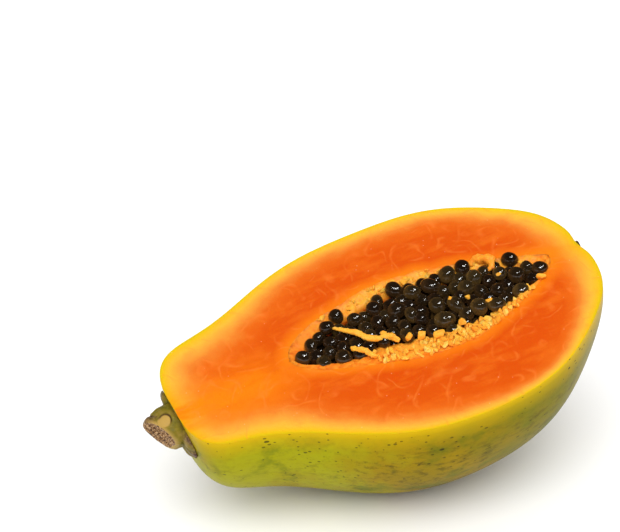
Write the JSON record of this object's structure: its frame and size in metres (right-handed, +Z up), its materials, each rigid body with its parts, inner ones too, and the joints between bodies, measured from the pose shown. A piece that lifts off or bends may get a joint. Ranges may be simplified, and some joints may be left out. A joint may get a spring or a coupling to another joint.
{
  "type": "papaya half",
  "caption": "Half of a ripe papaya cut lengthwise: orange flesh, a heap of dark seeds in its cavity and a stalk stub. It lies on its skin side, cut face up.",
  "frame": {"origin": "under the middle of the whole, on the plane of the flat spot that it rests on", "axes": "+X along the fruit from the stalk to the blossom end, seen from above; +Y away from the low side of the cut face; +Z up"},
  "size_m": [0.1888, 0.1176, 0.0876],
  "materials": {
    "flesh": "moist ripe flesh, orange, yellow towards the skin",
    "skin": "waxy skin, yellow-green, mottled",
    "pulp": "soft wet pulp, yellow to orange",
    "seed": "dark seeds in glossy wet coats",
    "stalk": "olive bark, dry brown fibres at the cut end"
  },
  "bodies": {
    "root": {"fruit_half": "flesh", "pulp_lining": "pulp", "seeds": "seed", "stalk": "stalk"}
  },
  "joints": []
}
